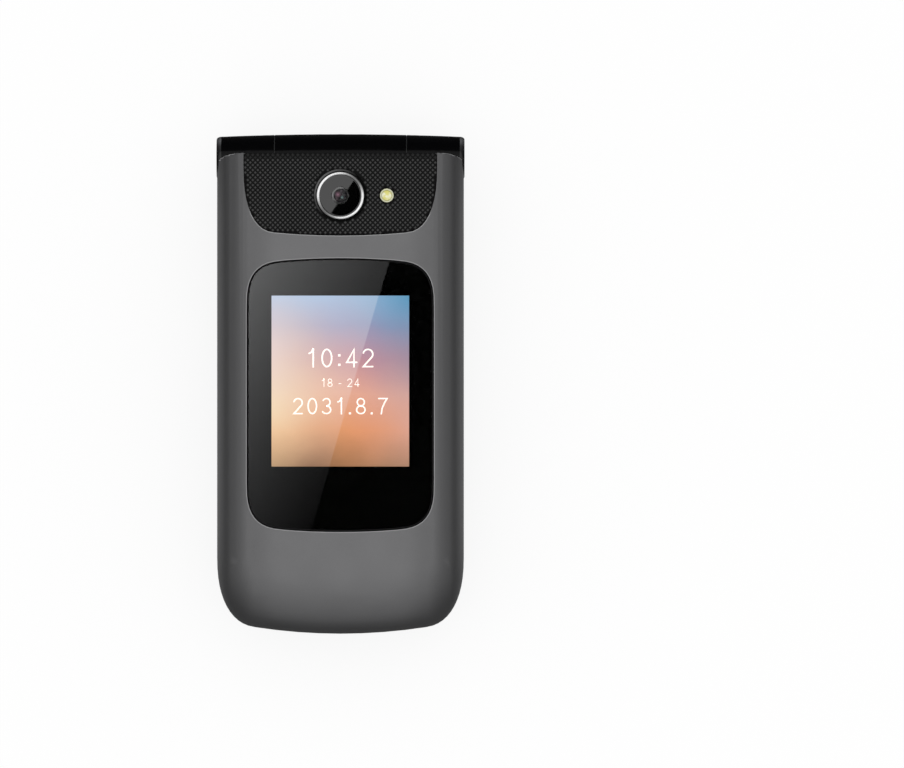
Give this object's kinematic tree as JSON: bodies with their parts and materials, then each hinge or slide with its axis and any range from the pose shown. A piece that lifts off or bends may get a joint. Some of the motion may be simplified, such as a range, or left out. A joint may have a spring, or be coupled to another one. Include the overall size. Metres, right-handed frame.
{
  "type": "clamshell flip phone",
  "caption": "Closed clamshell mobile phone with an outer display, camera and flash on the lid, a keypad inside and a barrel hinge.",
  "frame": {"origin": "centre of the bounding box's underside, with the phone closed and lying on its back", "axes": "+X to the right seen from the lid's face, +Y from the free tip to the hinge, +Z from the back to the lid's face"},
  "size_m": [0.0522, 0.1052, 0.0206],
  "materials": {
    "housing": "satin metallic dark grey paint on a moulded shell",
    "gloss_black": "polished black plastic",
    "panel": "black plastic with fine raised diamond texture",
    "key": "black silicone-coated key with pale printed digit",
    "call_green": "black key with a green printed mark",
    "end_red": "black key with a red printed mark",
    "glass_black": "black-backed clear window",
    "display": "lit colour display",
    "board": "green circuit board",
    "steel": "stamped and drawn steel",
    "chrome": "polished ring",
    "gold": "gold-plated or copper part",
    "battery": "wrapped battery",
    "carrier": "moulded black plastic",
    "lens_yellow": "clear lens over yellow phosphor",
    "rubber": "soft black rubber"
  },
  "bodies": {
    "base": {"base_housing": "housing", "base_frame": "gloss_black", "battery": "battery", "main_board": "board", "shield_cans": "steel", "battery_contacts": "gold", "sim_holder": "steel", "loudspeaker": "carrier", "microphone": "steel", "vibration_motor": "steel", "usb_port": "steel", "headset_jack": "gloss_black", "antenna": "carrier", "dome_sheet": "steel", "base_screws": "steel", "hinge_caps": "gloss_black", "hinge_case": "steel", "hinge_spring": "steel"},
    "lid": {"lid_housing": "housing", "lid_frame": "gloss_black", "camera_panel": "panel", "camera_ring": "chrome", "camera_window": "glass_black", "camera_module": "carrier", "flash_lens": "lens_yellow", "outer_window": "glass_black", "outer_display": "display", "inner_window": "glass_black", "inner_display": "display", "lid_board": "board", "earpiece": "steel", "lid_bumpers": "rubber", "lid_screws": "steel", "hinge_shaft": "steel", "hinge_bush": "steel", "hinge_flex": "gold"},
    "battery_cover": {"battery_cover": "housing"},
    "volume_key": {"volume_key": "gloss_black"},
    "vibration_weight": {"vibration_weight": "gold"},
    "key_1": {"key_1": "key"},
    "key_2": {"key_2": "key"},
    "key_3": {"key_3": "key"},
    "key_4": {"key_4": "key"},
    "key_5": {"key_5": "key"},
    "key_6": {"key_6": "key"},
    "key_7": {"key_7": "key"},
    "key_8": {"key_8": "key"},
    "key_9": {"key_9": "key"},
    "key_star": {"key_star": "key"},
    "key_0": {"key_0": "key"},
    "key_hash": {"key_hash": "key"},
    "nav_right": {"nav_right": "key"},
    "nav_up": {"nav_up": "key"},
    "nav_left": {"nav_left": "key"},
    "nav_down": {"nav_down": "key"},
    "ok_key": {"ok_key": "key"},
    "soft_left": {"soft_left": "key"},
    "soft_right": {"soft_right": "key"},
    "call_key": {"call_key": "call_green"},
    "end_key": {"end_key": "end_red"}
  },
  "joints": [
    {"name": "lid_hinge", "type": "hinge", "parent": "base", "child": "lid", "pos_m": [0, 0.04752, 0.0116], "axis": [-1, 0, 0], "range_deg": [0, 160]},
    {"name": "cover_release", "type": "slide", "parent": "base", "child": "battery_cover", "axis": [0, 0, -1], "range_m": [0, 0.012]},
    {"name": "volume_rocker", "type": "hinge", "parent": "base", "child": "volume_key", "pos_m": [0.02285, -0.01247, 0.00535], "axis": [0, 0, 1], "range_deg": [-2, 2], "stiffness_Nm_per_rad": 0.05},
    {"name": "vibration_spin", "type": "hinge", "parent": "base", "child": "vibration_weight", "pos_m": [0.0129, -0.04347, 0.00485], "axis": [1, 0, 0], "continuous": true},
    {"name": "key_1_press", "type": "slide", "parent": "base", "child": "key_1", "axis": [0, 0, -1], "range_m": [0, 0.0003], "stiffness_N_per_m": 300},
    {"name": "key_2_press", "type": "slide", "parent": "base", "child": "key_2", "axis": [0, 0, -1], "range_m": [0, 0.0003], "stiffness_N_per_m": 300},
    {"name": "key_3_press", "type": "slide", "parent": "base", "child": "key_3", "axis": [0, 0, -1], "range_m": [0, 0.0003], "stiffness_N_per_m": 300},
    {"name": "key_4_press", "type": "slide", "parent": "base", "child": "key_4", "axis": [0, 0, -1], "range_m": [0, 0.0003], "stiffness_N_per_m": 300},
    {"name": "key_5_press", "type": "slide", "parent": "base", "child": "key_5", "axis": [0, 0, -1], "range_m": [0, 0.0003], "stiffness_N_per_m": 300},
    {"name": "key_6_press", "type": "slide", "parent": "base", "child": "key_6", "axis": [0, 0, -1], "range_m": [0, 0.0003], "stiffness_N_per_m": 300},
    {"name": "key_7_press", "type": "slide", "parent": "base", "child": "key_7", "axis": [0, 0, -1], "range_m": [0, 0.0003], "stiffness_N_per_m": 300},
    {"name": "key_8_press", "type": "slide", "parent": "base", "child": "key_8", "axis": [0, 0, -1], "range_m": [0, 0.0003], "stiffness_N_per_m": 300},
    {"name": "key_9_press", "type": "slide", "parent": "base", "child": "key_9", "axis": [0, 0, -1], "range_m": [0, 0.0003], "stiffness_N_per_m": 300},
    {"name": "key_star_press", "type": "slide", "parent": "base", "child": "key_star", "axis": [0, 0, -1], "range_m": [0, 0.0003], "stiffness_N_per_m": 300},
    {"name": "key_0_press", "type": "slide", "parent": "base", "child": "key_0", "axis": [0, 0, -1], "range_m": [0, 0.0003], "stiffness_N_per_m": 300},
    {"name": "key_hash_press", "type": "slide", "parent": "base", "child": "key_hash", "axis": [0, 0, -1], "range_m": [0, 0.0003], "stiffness_N_per_m": 300},
    {"name": "nav_right_press", "type": "slide", "parent": "base", "child": "nav_right", "axis": [0, 0, -1], "range_m": [0, 0.0003], "stiffness_N_per_m": 300},
    {"name": "nav_up_press", "type": "slide", "parent": "base", "child": "nav_up", "axis": [0, 0, -1], "range_m": [0, 0.0003], "stiffness_N_per_m": 300},
    {"name": "nav_left_press", "type": "slide", "parent": "base", "child": "nav_left", "axis": [0, 0, -1], "range_m": [0, 0.0003], "stiffness_N_per_m": 300},
    {"name": "nav_down_press", "type": "slide", "parent": "base", "child": "nav_down", "axis": [0, 0, -1], "range_m": [0, 0.0003], "stiffness_N_per_m": 300},
    {"name": "ok_key_press", "type": "slide", "parent": "base", "child": "ok_key", "axis": [0, 0, -1], "range_m": [0, 0.0003], "stiffness_N_per_m": 300},
    {"name": "soft_left_press", "type": "slide", "parent": "base", "child": "soft_left", "axis": [0, 0, -1], "range_m": [0, 0.0003], "stiffness_N_per_m": 300},
    {"name": "soft_right_press", "type": "slide", "parent": "base", "child": "soft_right", "axis": [0, 0, -1], "range_m": [0, 0.0003], "stiffness_N_per_m": 300},
    {"name": "call_key_press", "type": "slide", "parent": "base", "child": "call_key", "axis": [0, 0, -1], "range_m": [0, 0.0003], "stiffness_N_per_m": 300},
    {"name": "end_key_press", "type": "slide", "parent": "base", "child": "end_key", "axis": [0, 0, -1], "range_m": [0, 0.0003], "stiffness_N_per_m": 300}
  ]
}
